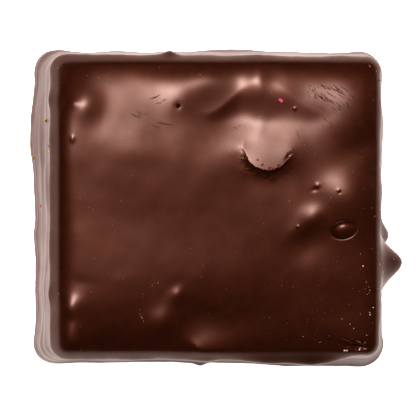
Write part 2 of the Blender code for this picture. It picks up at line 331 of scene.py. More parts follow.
@dataclass(frozen=True)
class Bulge:
    """A swelling of a wall, the shoulder or the foot, pushed outwards, in millimetres."""

    x: float
    y: float
    z: float
    along: float
    tall: float
    rise: float

    def push(self, points: np.ndarray) -> np.ndarray:
        """Gives the outward push at points of the side.

        Args:
            points: One row of x, y and z for each point.

        Returns:
            The push at each point.
        """
        level = np.hypot(points[:, 0] - self.x, points[:, 1] - self.y) / self.along
        upright = (points[:, 2] - self.z) / self.tall
        return self.rise * np.exp(-(level**2 + upright**2) / 2)


@dataclass(frozen=True)
class Ledge:
    """A faint step round the side, where a later run of coating ended, in millimetres."""

    z: float
    rise: float
    upper: float
    lower: float
    wave: float
    size: float
    strength: float = 0.55  # how much of the step shows on the whole
    patchiness: float = 0.9  # how much that changes round the side
    patch_stretch: float = 1.4  # over lumps this many times longer than the line's waves
    strongest: float = 1.3
    line_seed: float = 7.0
    patch_seed: float = 31.0

    def push(self, points: np.ndarray) -> np.ndarray:
        """Gives the outward push at points of the side.

        Args:
            points: One row of x, y and z for each point.

        Returns:
            The push at each point.
        """
        level = points * (1, 1, 0) + (0, 0, self.z * self.line_seed)
        line = self.z + self.wave * noise_at(level, self.size)
        patches = noise_at(level + self.patch_seed, self.size * self.patch_stretch)
        strength = np.clip(self.strength + self.patchiness * patches, 0, self.strongest)
        off = points[:, 2] - line
        run = np.where(off > 0, self.upper, self.lower)
        return self.rise * strength * np.exp(-((off / run) ** 2) / 2)


@dataclass(frozen=True)
class Sides:
    """One value for each side of the block, blended round the corners."""

    left: float
    right: float
    far: float
    front: float

    def towards(self, outward_x: float, outward_y: float) -> float:
        """Gives the value in a level direction.

        Args:
            outward_x: The direction's share along X.
            outward_y: The direction's share along Y.

        Returns:
            The value of the side that faces there, or a blend of two.
        """
        across = self.right if outward_x > 0 else self.left
        deep = self.far if outward_y > 0 else self.front
        return across * outward_x**2 + deep * outward_y**2


@dataclass
class Relief:
    """All that is raised on the plain block, in millimetres from the middle of the top."""

    crown: float = 0.80
    roll_depth: Sides = Sides(1.45, 0.60, 1.15, 0.70)
    roll_run: Sides = Sides(0.95, 1.00, 1.30, 0.80)
    front_fall: float = 1.90
    front_fall_run: float = 4.6
    front_swing: float = 0.8
    front_swing_start: float = -1.0
    front_swing_end: float = 4.5
    swell_size: float = 9.0
    swell_rise: float = 0.030
    swell_level: float = 22.0  # the height at which the swells' noise is read
    mottle_size: float = 2.6
    mottle_rise: float = 0.018
    lump_size: float = 6.5
    lump_rise: float = 0.06
    rib_size: float = 3.2
    rib_rise: float = 0.14
    rib_stretch: float = 6.0
    streak_size: float = 0.9
    streak_rise: float = 0.030
    flap: Flap = Flap(
        apex_x=5.2,
        apex_y=15.9,
        left_turn=46,
        right_turn=-44,
        left_foot=9.35,
        right_foot=9.3,
        least_run=1.5,
        brow_rise=0.42,
        brow_bite=0.82,
        brow_left=2.0,
        brow_right=5.2,
        middle_x=3.2,
        middle_y=8.6,
        facing=118,
        grade=0.135,
        axis_turn=108,
        sunk_span=3.3,
        raised_span=6.8,
        deepest=0.95,
        highest=0.75,
        blend=0.08,
        lip_x=5.8,
        lip_y=7.0,
        lip_length=2.8,
        lip_width=2.75,
        lip_facing=-98,
        lip_half_span=72,
        lip_run=0.50,
        lip_drop=0.05,
        lip_fade=2.2,
        rough=0.07,
    )
    flap_lumps: Sequence[Swell] = (
        Swell(-1.2, 14.6, 2.2, 1.9, 0, 0.26),
        Swell(6.4, 15.2, 0.9, 1.2, 0, -0.09),
        Swell(15.6, 13.0, 4.2, 3.4, 0, 0.38),
        Swell(5.0, 9.3, 1.3, 0.45, 72, 0.015),
        Swell(-0.4, 12.6, 1.9, 1.7, 30, -0.10),
        Swell(9.2, 6.2, 1.6, 1.5, 0, 0.09),
        Swell(3.3, 7.6, 0.9, 0.8, -30, -0.02),
        Swell(8.2, 5.9, 0.30, 0.12, 50, -0.07),
        Swell(2.9, 4.2, 1.0, 0.6, -25, 0.05),
    )
    far_mounds: Sequence[Swell] = (
        Swell(-8.0, 6.4, 3.4, 1.3, -8, 0.04),
        Swell(-6.5, 5.0, 6.0, 4.0, 0, 0.26),
        Swell(-12.5, 8.0, 3.5, 3.0, 0, 0.16),
        Swell(-9.4, -1.4, 2.4, 1.6, -20, -0.06),
        Swell(-4.6, 12.5, 1.5, 1.6, 20, 0.12),
        Swell(17.8, 12.0, 4.4, 3.8, 0, 0.33),
        Swell(15.0, 8.6, 2.6, 2.0, 0, 0.15),
        Swell(17.2, 7.4, 2.4, 1.2, 33, -0.22),
        Swell(15.4, 0.8, 2.6, 2.6, 0, 0.48),
        Swell(16.2, 2.6, 5.0, 3.0, -5, 0.27),
    )
    far_left_lumps: Sequence[Swell] = (
        Swell(-18.4, 16.9, 2.8, 2.0, 45, -0.95),
        Swell(-15.3, 11.8, 1.25, 1.40, -20, 0.28),
        Swell(-18.6, 8.0, 2.0, 4.5, 0, 0.40),
        Swell(-16.7, 11.9, 0.40, 0.35, 0, 0.07),
        Swell(-11.5, 15.3, 3.0, 0.9, 5, -0.04),
        Swell(-5.0, 16.0, 2.2, 0.8, 0, -0.06),
        Swell(-18.0, 12.0, 0.35, 0.60, 0, -0.20),
    )
    right_lump: Sequence[Swell] = (
        Swell(10.9, -1.4, 1.15, 0.95, 36, 0.26),
        Swell(9.1, -2.8, 1.0, 0.65, 36, 0.09),
        Swell(10.2, -4.6, 1.7, 1.3, 20, -0.16),
        Swell(8.5, -13.0, 6.0, 6.0, 0, -0.50),
        Swell(15.5, -11.5, 2.5, 2.0, 0, -0.16),
    )
    left_lumps: Sequence[Swell] = (
        Swell(-17.2, -11.6, 1.15, 1.05, 0, 0.34),
        Swell(-15.9, -8.6, 1.3, 0.5, -10, -0.03),
        Swell(-17.6, -12.9, 0.8, 0.5, 0, -0.10),
        Swell(-17.2, -16.4, 1.7, 2.4, 0, 1.00),
    )
    front_lumps: Sequence[Swell] = (
        Swell(-4.5, -10.2, 0.70, 0.60, 60, 0.18),
        Swell(-4.9, -7.8, 0.8, 0.5, 40, 0.02),
        Swell(-6.3, -13.4, 1.45, 1.15, 45, 0.34),
        Swell(1.2, -8.0, 4.2, 2.3, 0, 0.11),
        Swell(-11.5, -10.0, 3.0, 2.4, 0, 0.07),
        Swell(-11.2, -8.4, 0.8, 0.6, 0, 0.02),
        Swell(-2.3, -12.6, 1.6, 1.4, 0, -0.20),
        Swell(2.0, -13.2, 3.2, 1.6, 0, -0.16),
        Swell(-1.0, -17.6, 2.2, 1.6, 0, 1.00),
        Swell(-1.9, -16.6, 0.35, 1.1, 45, 0.10),
    )
    air_bubble: Dome = Dome(14.55, -2.65, 1.42, 0.98, 12, 0.50, 0.04)
    pimples: Sequence[Swell] = (
        Swell(8.9, 11.3, 0.12, 0.12, 0, 0.05),
        Swell(11.5, 2.4, 0.20, 0.24, 0, 0.05),
        Swell(11.3, 2.05, 0.35, 0.2, 20, -0.04),
        Swell(13.9, 1.9, 0.14, 0.14, 0, 0.03),
        Swell(14.05, 1.7, 0.10, 0.10, 0, -0.05),
        Swell(9.25, -2.3, 0.12, 0.12, 0, 0.06),
        Swell(-4.55, 11.6, 0.30, 0.30, 0, -0.03),
        Swell(-4.5, 11.6, 0.09, 0.09, 0, -0.20),
        Swell(-16.7, 7.8, 0.20, 0.28, 0, 0.05),
        Swell(16.2, -16.1, 0.75, 0.20, -8, -0.45),
    )
    rings: Sequence[Ring] = (
        Ring(-0.9, -10.3, 2.2, 2.6, 0, 0.09, -0.004, 45, 70),
        Ring(-7.1, -12.1, 1.9, 2.6, 0, 0.08, 0.006, 175, 75),
    )
    shoulder_bulges: Sequence[Bulge] = (
        Bulge(-5.4, 17.3, 20.0, 0.6, 1.0, 0.55),
        Bulge(-18.9, 0.0, 20.8, 22.0, 1.6, 0.42),
        Bulge(-18.8, 12.4, 20.0, 0.7, 0.9, 0.25),
        Bulge(-18.8, -10.2, 20.0, 0.8, 0.9, 0.28),
        Bulge(-1.2, -17.2, 19.8, 1.2, 0.9, 0.45),
        Bulge(5.6, -17.4, 18.5, 2.7, 4.0, 0.66),
        Bulge(11.0, -17.4, 18.5, 2.5, 4.0, 0.78),
        Bulge(16.8, -17.4, 20.5, 1.6, 2.0, -0.30),
    )
    tail_bulges: Sequence[Bulge] = (
        Bulge(18.9, -6.3, 17.0, 1.35, 1.7, 2.50),
        Bulge(18.9, -8.0, 15.0, 1.2, 2.4, 0.70),
    )
    wall_bulges: Sequence[Bulge] = (
        Bulge(-19.6, 8.4, 1.5, 3.3, 3.4, 0.70),
        Bulge(-19.6, -3.3, 1.5, 1.2, 2.4, 0.35),
        Bulge(-19.4, -11.0, 10.5, 2.4, 2.6, 0.25),
        Bulge(-19.4, 2.0, 12.0, 1.6, 2.0, -0.20),
        Bulge(-19.0, 17.6, 1.2, 1.3, 2.0, 0.55),
        Bulge(19.6, -3.3, 1.2, 0.9, 1.6, 1.20),
        Bulge(19.4, 8.5, 9.0, 2.6, 3.2, 0.30),
        Bulge(19.6, -14.0, 1.5, 2.0, 2.2, -0.25),
        Bulge(2.5, 18.3, 1.0, 3.2, 1.6, 0.40),
        Bulge(-10.5, 18.3, 1.0, 3.6, 1.4, 0.20),
        Bulge(12.5, -18.2, 1.6, 4.6, 3.0, 0.50),
        Bulge(-1.2, -18.2, 1.4, 0.5, 1.8, 0.40),
        Bulge(-11.0, -18.0, 9.5, 2.4, 2.6, 0.25),
    )
    corner_bulges: Sequence[Bulge] = (
        Bulge(19.0, 17.2, 1.0, 1.6, 5.0, 0.25),
        Bulge(19.0, -17.4, 1.0, 1.6, 5.0, 0.50),
        Bulge(-19.4, -17.2, 1.0, 1.6, 5.0, 0.45),
    )
    ledges: Sequence[Ledge] = (
        Ledge(8.5, 0.18, 0.9, 0.25, 1.2, 6.0),
        Ledge(5.2, 0.22, 0.7, 0.22, 0.9, 5.0),
        Ledge(2.4, 0.16, 0.5, 0.20, 0.5, 4.0),
    )

    lip_stretch: tuple[float, float, float, float] = (5.9, 5.8, 3.6, 2.7)
    bubble_stretch: tuple[float, float] = (1.3, 1.4)
    pimple_stretch: float = 3.0

    def raised(self) -> list[Swell | Flap | Ring | Dome]:
        """Lists every feature that lifts or lowers the top.

        Returns:
            The features, the flap first.
        """
        lists = ((self.flap,), self.flap_lumps, self.far_mounds, self.far_left_lumps, self.right_lump,
                 self.left_lumps, self.front_lumps, self.pimples, self.rings, (self.air_bubble,))
        return [feature for group in lists for feature in group]

    def pushed(self) -> list[Bulge | Ledge]:
        """Lists every feature that pushes the side outwards.

        Returns:
            The features, from the shoulder down.
        """
        lists = (self.shoulder_bulges, self.tail_bulges, self.wall_bulges, self.corner_bulges, self.ledges)
        return [feature for group in lists for feature in group]

    def fine_places(self) -> list[tuple[float, float, float, float]]:
        """Lists the stretches of the top with features too small for its even grid.

        Returns:
            The middle and the two half-sides of each, in millimetres.
        """
        bubble, (along, across), reach = self.air_bubble, self.bubble_stretch, self.pimple_stretch
        places = [self.lip_stretch, (bubble.x, bubble.y, along * bubble.length, across * bubble.width)]
        return places + [(spot.x, spot.y, reach * spot.length, reach * spot.width) for spot in self.pimples]

    def roll(self, x: np.ndarray, y: np.ndarray, half_length: float, half_width: float) -> np.ndarray:
        """Gives how far the top has sunk on its way to the shoulders.

        Args:
            x: The points' places along X.
            y: The points' places along Y.
            half_length: Half the top's length.
            half_width: Half the top's width.

        Returns:
            The depth at each point.
        """
        depth, run = self.roll_depth, self.roll_run
        swing = self.front_swing * smooth_share(x, self.front_swing_start, self.front_swing_end)
        from_front = np.maximum(half_width + y + swing, 0)
        return (depth.left * np.exp(-np.maximum(half_length + x, 0) / run.left)
                + depth.right * np.exp(-np.maximum(half_length - x, 0) / run.right)
                + depth.far * np.exp(-np.maximum(half_width - y, 0) / run.far)
                + depth.front * np.exp(-from_front / run.front)
                + self.front_fall * np.exp(-from_front / self.front_fall_run))

    def top_lift(self, points: np.ndarray, half_length: float, half_width: float) -> np.ndarray:
        """Gives the lumpy top's height above its plane.

        Args:
            points: One row of x, y and z for each point of the plain block, in millimetres.
            half_length: Half the top's length.
            half_width: Half the top's width.

        Returns:
            The height at each point, in millimetres.
        """
        x, y = points[:, 0], points[:, 1]
        crown = self.crown * ((x / half_length) ** 4 + (y / half_width) ** 4) / 4
        forms = sum(feature.height(x, y) for feature in self.raised())
        flat = points * (1, 1, 0)
        swells = self.swell_rise * noise_at(flat + (0, 0, self.swell_level), self.swell_size)
        mottle = self.mottle_rise * noise_at(flat, self.mottle_size)
        return forms - crown - self.roll(x, y, half_length, half_width) + swells + mottle

    def side_push(self, points: np.ndarray) -> np.ndarray:
        """Gives how far the side stands out from the plain block.

        Args:
            points: One row of x, y and z for each point of the plain block, in millimetres.

        Returns:
            The outward push at each point, in millimetres.
        """
        push = sum(feature.push(points) for feature in self.pushed())
        lumps = self.lump_rise * noise_at(points, self.lump_size)
        ribs = self.rib_rise * noise_at(points, self.rib_size, (1, 1, self.rib_stretch))
        streaks = self.streak_rise * noise_at(points, self.streak_size, (1, 1, self.rib_stretch))
        return push + lumps + ribs + streaks


@dataclass(frozen=True)
class Level:
    """One ring of the side: its own offset, its shares of the wall's forms, and its height, in metres."""

    offset: float
    splay: float
    belly: float
    foot: float
    height: float


@dataclass
class Coating:
    """The chocolate coating, all round: top, shoulders, walls, spread foot and flat underside."""

    height: float = 22.0 * MM
    length: float = 37.8 * MM
    width: float = 34.7 * MM
    corner: float = 1.60 * MM
    shoulder_run: float = 0.90 * MM
    shoulder_drop: float = 1.3 * MM
    splay: Sides = Sides(1.40 * MM, 1.15 * MM, 0.90 * MM, 0.85 * MM)
    foot_spread: Sides = Sides(0.55 * MM, 0.35 * MM, 0.12 * MM, 0.30 * MM)
    belly: Sides = Sides(-0.38 * MM, -0.12 * MM, -0.10 * MM, -0.10 * MM)
    foot_height: float = 3.2 * MM
    foot_edge: float = 0.8 * MM
    underside_inset: float = 0.4 * MM
    cell: float = 0.215 * MM
    fine_cuts: int = 3
    corner_steps: int = 8
    shoulder_steps: int = 14
    wall_steps: int = 30
    foot_steps: int = 10
    rim_steps: int = 4
    lift_start: float = 1 / 3  # the share of the height from which the walls follow the top's relief
    least_length: float = 1e-9
    relief: Relief = field(default_factory=Relief)
    shift: Vector = field(init=False, default_factory=Vector)  # how far build moves it to stand it centred

    def stations(self, side: float) -> list[tuple[float, float]]:
        """Spaces the grid's lines across one side of the top.

        Args:
            side: The whole length of that side, in metres.

        Returns:
            For each line, its place on the rectangle inside the corners and its share of the way into a
            corner.
        """
        core = side / 2 - self.corner
        count = round(2 * core / self.cell)
        shares = [step / self.corner_steps for step in range(1, self.corner_steps + 1)]
        places = [(-core, -share) for share in reversed(shares)]
        places += [(core * (2 * i / count - 1), 0.0) for i in range(count + 1)]
        return places + [(core, share) for share in shares]

    def rounded(self, across: tuple[float, float], deep: tuple[float, float]) -> Vector:
        """Places one crossing of the grid's lines on the top, with its square corner turned into an arc.

        Args:
            across: The station along X, as stations gives it.
            deep: The station along Y.

        Returns:
            The place on the plain block's top, in metres.
        """
        wide, far = abs(across[1]), abs(deep[1])
        reach = max(wide, far)
        if reach == 0:
            return Vector((across[0], deep[0], self.height))
        angle = math.pi / 4 * far / wide if wide >= far else math.pi / 2 - math.pi / 4 * wide / far
        offset = reach * (self.corner - self.shoulder_run)
        x = across[0] + math.copysign(math.cos(angle), across[1]) * offset
        y = deep[0] + math.copysign(math.sin(angle), deep[1]) * offset
        return Vector((x, y, self.height))

    def profile(self) -> list[Level]:
        """Runs down the side, from the top's rim to the underside.

        Returns:
            The rings, from the shoulder to the foot's lower edge.
        """
        levels = []
        for i in range(1, self.shoulder_steps + 1):
            angle = math.pi / 2 * i / self.shoulder_steps
            drop = self.shoulder_drop * (1 - math.cos(angle))
            offset = self.shoulder_run * (math.sin(angle) - 1)
            levels.append(Level(offset, 0.0, 0.0, 0.0, self.height - drop))
        wall_top = self.height - self.shoulder_drop
        for i in range(1, self.wall_steps + 1):
            down = i / self.wall_steps
            height = wall_top + (self.foot_height - wall_top) * down
            levels.append(Level(0.0, down, math.sin(math.pi * down), 0.0, height))
        for i in range(1, self.foot_steps + 1):
            down = i / self.foot_steps
            height = self.foot_height + (self.foot_edge - self.foot_height) * down
            levels.append(Level(0.0, 1.0, 0.0, down * down * (3 - 2 * down), height))
        for i in range(1, self.rim_steps + 1):
            angle = math.pi / 2 * i / self.rim_steps
            inset = self.underside_inset * (1 - math.cos(angle))
            levels.append(Level(-inset, 1.0, 0.0, 1.0, self.foot_edge * (1 - math.sin(angle))))
        return levels

    def top_sheet(self, mesh: bmesh.types.BMesh) -> None:
        """Lays the top as a grid with rounded corners, finer where small features stand.

        Args:
            mesh: The empty mesh that takes it.
        """
        across, deep = self.stations(self.length), self.stations(self.width)
        last_x, last_y = len(across) - 1, len(deep) - 1
        bmesh.ops.create_grid(mesh, x_segments=last_x, y_segments=last_y, size=1)
        for vertex in mesh.verts:
            column = round((vertex.co.x + 1) / 2 * last_x)
            row = round((vertex.co.y + 1) / 2 * last_y)
            vertex.co = self.rounded(across[column], deep[row])
        fine = {edge for face in mesh.faces if self.is_fine(face) for edge in face.edges}
        bmesh.ops.subdivide_edges(mesh, edges=list(fine), cuts=self.fine_cuts, use_grid_fill=True)

    def is_fine(self, face: bmesh.types.BMFace) -> bool:
        """Tells whether a face of the top lies in a stretch with small features."""
        middle = face.calc_center_median() / MM
        return any(abs(middle.x - x) < half_x and abs(middle.y - y) < half_y
                   for x, y, half_x, half_y in self.relief.fine_places())

    def inner_point(self, place: Vector) -> Vector:
        """Gives the nearest point of the rectangle inside the corners."""
        half_x, half_y = self.length / 2 - self.corner, self.width / 2 - self.corner
        return Vector((min(half_x, max(-half_x, place.x)), min(half_y, max(-half_y, place.y))))

    def add_side(self, mesh: bmesh.types.BMesh) -> None:
        """Runs the top's rim down the shoulder, wall and foot, and closes the underside.

        Args:
            mesh: The mesh that holds the top sheet alone.
        """
        rim = [edge for edge in mesh.edges if edge.is_boundary]
        for level in self.profile():
            made = bmesh.ops.extrude_edge_only(mesh, edges=rim)["geom"]
            fresh = {item for item in made if isinstance(item, bmesh.types.BMVert)}
            for vertex in fresh:
                inner = self.inner_point(vertex.co)
                outward = (vertex.co.xy - inner).normalized()
                reach = self.corner + level.offset + level.splay * self.splay.towards(*outward)
                reach += level.belly * self.belly.towards(*outward)
                reach += level.foot * self.foot_spread.towards(*outward)
                vertex.co = (*(inner + outward * reach), level.height)
            edges = [item for item in made if isinstance(item, bmesh.types.BMEdge)]
            rim = [edge for edge in edges if all(vertex in fresh for vertex in edge.verts)]
        bmesh.ops.edgeloop_fill(mesh, edges=rim)

    def shape(self, plain: np.ndarray) -> np.ndarray:
        """Raises the coating's relief on points of the plain block.

        Args:
            plain: One row of x, y and z for each point, in metres.

        Returns:
            The same rows, moved to the coating's surface.
        """
        half = np.array((self.length, self.width)) / 2
        away = plain[:, :2] - np.clip(plain[:, :2], self.corner - half, half - self.corner)
        outward = away / np.maximum(np.linalg.norm(away, axis=1), self.least_length)[:, None]
        points = plain / MM
        top, shoulder = self.height / MM, (self.height - self.shoulder_drop) / MM
        side_share = smooth_share(top - points[:, 2], 0.0, self.shoulder_drop / MM)
        top_share = smooth_share(points[:, 2], top * self.lift_start, shoulder)
        push = self.relief.side_push(points) * side_share
        lift = self.relief.top_lift(points, *(half / MM)) * top_share
        points[:, :2] += outward * push[:, None]
        points[:, 2] += lift
        return points * MM

    def build(self) -> bpy.types.Object:
        """Models the coating and centres it over the origin, as the solid that it replaces is.

        Returns:
            The coating's object, with its place in its mesh.
        """
        mesh = bmesh.new()
        self.top_sheet(mesh)
        self.add_side(mesh)
        bmesh.ops.recalc_face_normals(mesh, faces=mesh.faces)
        data = mesh_data("chocolate_coating", mesh)
        flat = np.empty(len(data.vertices) * 3)
        data.vertices.foreach_get("co", flat)
        shaped = self.shape(flat.reshape(-1, 3))
        low, high = shaped.min(axis=0), shaped.max(axis=0)
        self.shift = Vector((-(low[0] + high[0]) / 2, -(low[1] + high[1]) / 2, 0))
        shaped += np.array(self.shift)
        data.vertices.foreach_set("co", shaped.ravel())
        data.shade_smooth()
        data.update()
        return linked("chocolate_coating", data)


@dataclass(frozen=True)
class Pattern:
    """A noise pattern: its lumps in each metre and how many finer layers it has."""

    scale: float
    detail: float


class NodeBook:
    """A short way to write a material's nodes."""

    def __init__(self, name: str) -> None:
        """Starts a material with an empty Principled shader.

        Args:
            name: The material's name.
        """
        self.material = bpy.data.materials.new(name)
        self.material.use_nodes = True
        self.tree = self.material.node_tree
        self.shader = self.tree.nodes["Principled BSDF"]

    def set(self, **sockets: object) -> None:
        """Sets the shader's sockets, with each space in a socket's name written as an underscore."""
        for name, value in sockets.items():
            self.shader.inputs[name.replace("_", " ")].default_value = value

    def add(self, kind: str, **settings: object) -> bpy.types.Node:
        """Adds a node.

        Args:
            kind: The node's type, without its ShaderNode prefix.
            **settings: The node's own settings.

        Returns:
            The new node.
        """
        node = self.tree.nodes.new("ShaderNode" + kind)
        for name, value in settings.items():
            setattr(node, name, value)
        return node

    def link(self, source: bpy.types.NodeSocket, target: bpy.types.NodeSocket) -> None:
        """Joins two sockets."""
        self.tree.links.new(source, target)

    def texture_point(self) -> bpy.types.NodeSocket:
        """Gives the Object coordinates, which every pattern here reads."""
        return self.add("TexCoord").outputs["Object"]

    def noise(self, point: bpy.types.NodeSocket, pattern: Pattern) -> bpy.types.NodeSocket:
        """Adds a noise texture.

        Args:
            point: The coordinates it reads.
            pattern: How fine it is.

        Returns:
            Its value, from 0 to 1.
        """
        node = self.add("TexNoise")
        node.inputs["Scale"].default_value = pattern.scale
        node.inputs["Detail"].default_value = pattern.detail
        self.link(point, node.inputs["Vector"])
        return node.outputs["Fac"]

    def ramp(self, value: bpy.types.NodeSocket, span: tuple[float, float],
             first: tuple, last: tuple) -> bpy.types.NodeSocket:
        """Turns a value into a colour between two.

        Args:
            value: The value to read.
            span: Where the first colour ends, and where the last one starts.
            first: The colour below the span.
            last: The colour above it.

        Returns:
            The colour.
        """
        node = self.add("ValToRGB")
        node.color_ramp.elements[0].position = span[0]
        node.color_ramp.elements[0].color = (*first, 1)
        node.color_ramp.elements[1].position = span[1]
        node.color_ramp.elements[1].color = (*last, 1)
        self.link(value, node.inputs["Fac"])
        return node.outputs["Color"]

    def spread(self, value: bpy.types.NodeSocket, low: float, high: float) -> bpy.types.NodeSocket:
        """Stretches a noise value to a range.

        Args:
            value: The value to read.
            low: What it becomes at the noise's low end.
            high: What it becomes at its high end.

        Returns:
            The stretched value.
        """
        node = self.add("MapRange")
        node.inputs["From Min"].default_value = NOISE_LOW
        node.inputs["From Max"].default_value = NOISE_HIGH
        node.inputs["To Min"].default_value = low
        node.inputs["To Max"].default_value = high
        self.link(value, node.inputs["Value"])
        return node.outputs["Result"]

    def bump(self, height: bpy.types.NodeSocket, strength: float, distance: float) -> None:
        """Reads a value as fine relief.

        Args:
            height: The value.
            strength: How much of it shows.
            distance: The height that a value of 1 stands for, in metres.
        """
        node = self.add("Bump")
        node.inputs["Strength"].default_value = strength
        node.inputs["Distance"].default_value = distance
        self.link(height, node.inputs["Height"])
        self.link(node.outputs["Normal"], self.shader.inputs["Normal"])


@dataclass(frozen=True)
class ChocolateFinish:
    """Set dark chocolate: a mottled body with a satin gloss."""

    deep: tuple = (0.066, 0.0185, 0.0058)
    warm: tuple = (0.083, 0.0245, 0.0085)
    rough: tuple[float, float] = (0.49, 0.55)
    gloss: float = 0.50
    gloss_tint: tuple = (1.0, 0.44, 0.30, 1.0)
    skin: float = 0.50
    skin_rough: float = 0.316
    mottle: Pattern = Pattern(900.0, 6.0)
    mottle_span: tuple[float, float] = (0.35, 0.65)
    patches: Pattern = Pattern(260.0, 3.0)
    pores: Pattern = Pattern(2600.0, 5.0)
    pore_strength: float = 0.25
    pore_depth: float = 0.012 * MM

    def material(self) -> bpy.types.Material:
        """Makes the material.

        Returns:
            The material, with its nodes.
        """
        book = NodeBook("dark_chocolate")
        point = book.texture_point()
        colour = book.ramp(book.noise(point, self.mottle), self.mottle_span, self.deep, self.warm)
        book.link(colour, book.shader.inputs["Base Color"])
        patch = book.noise(point, self.patches)
        book.link(book.spread(patch, *self.rough), book.shader.inputs["Roughness"])
        book.set(Specular_IOR_Level=self.gloss, Specular_Tint=self.gloss_tint, Coat_Weight=self.skin,
                 Coat_Roughness=self.skin_rough)
        book.bump(book.noise(point, self.pores), self.pore_strength, self.pore_depth)
        return book.material


class Ground:
    """The finished coating, as a surface to lay small things on."""

    clear: float = 40.0  # millimetres from the origin, well outside the sweet

    def __init__(self, shell: bpy.types.Object, shift: Vector) -> None:
        """Reads the coating's surface.

        Args:
            shell: The coating's object.
            shift: How far the coating was moved to stand over the origin, in metres.
        """
        mesh = bmesh.new()
        mesh.from_mesh(shell.data)
        self.tree = BVHTree.FromBMesh(mesh)
        mesh.free()
        self.shift = shift

    def under(self, x: float, y: float) -> tuple[Vector, Vector]:
        """Finds the spot straight below a place above the top.

        Args:
            x: The place along X, in millimetres, before the coating was moved.
            y: The place along Y.

        Returns:
            The spot and the surface's outward direction there.
        """
        above = Vector((x, y, self.clear)) * MM + self.shift
        spot, normal, _, _ = self.tree.ray_cast(above, Vector((0, 0, -1)))
        return spot, normal

    def beside(self, y: float, z: float) -> tuple[Vector, Vector]:
        """Finds the spot of the left wall at a height.

        Args:
            y: The place along Y, in millimetres, before the coating was moved.
            z: The height, in millimetres.

        Returns:
            The spot and the surface's outward direction there.
        """
        outside = Vector((-self.clear, y, z)) * MM + self.shift
        spot, normal, _, _ = self.tree.ray_cast(outside, Vector((1, 0, 0)))
        return spot, normal


def placed(mesh: bmesh.types.BMesh, name: str, finish: bpy.types.Material) -> bpy.types.Object:
    """Makes one piece that rides on the sweet.

    Args:
        mesh: The piece's shape, which is freed.
        name: The piece's name.
        finish: Its material.

    Returns:
        The piece's object.
    """
    bmesh.ops.recalc_face_normals(mesh, faces=mesh.faces)
    data = mesh_data(name, mesh)
    data.materials.append(finish)
    made = linked(name, data)
    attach(made, BODY)
    log.info("%s: %d faces", name, len(data.polygons))
    return made


class CrumbKind(Enum):
    """The kinds of crumb that lie on the coating, by material slot; the pale kind also paints glints."""

    # Pale sugar specks, and pale dashes that paint glints.
    PALE_AND_PAINTED_GLINT = "pale_sugar"
    PINK = "pink_sugar"
    GOLD = "gold_crumb"


@dataclass(frozen=True)
class GrainFinish:
    """A rough grain of sugar, crumb or broken chocolate, in two shades of one colour."""

    name: str
    light: tuple
    dark: tuple
    rough: float = 0.6
    shades: Pattern = Pattern(5200.0, 3.0)
    shade_span: tuple[float, float] = (0.4, 0.6)
    pores: Pattern = Pattern(9000.0, 2.0)
    pore_strength: float = 0.3
    pore_depth: float = 0.01 * MM

    def material(self) -> bpy.types.Material:
        """Makes the material.

        Returns:
            The material, with its nodes.
        """
        book = NodeBook(self.name)
        point = book.texture_point()
        colour = book.ramp(book.noise(point, self.shades), self.shade_span, self.dark, self.light)
        book.link(colour, book.shader.inputs["Base Color"])
        book.set(Roughness=self.rough)
        book.bump(book.noise(point, self.pores), self.pore_strength, self.pore_depth)
        return book.material


@dataclass(frozen=True)
class Crumb:
    """A crumb on the top or, with a height given, on the left wall, in millimetres."""

    kind: CrumbKind
    x: float
    y: float
    size: float
    z: float | None = None
    stretch: float = 1.0
    parts: int = 1


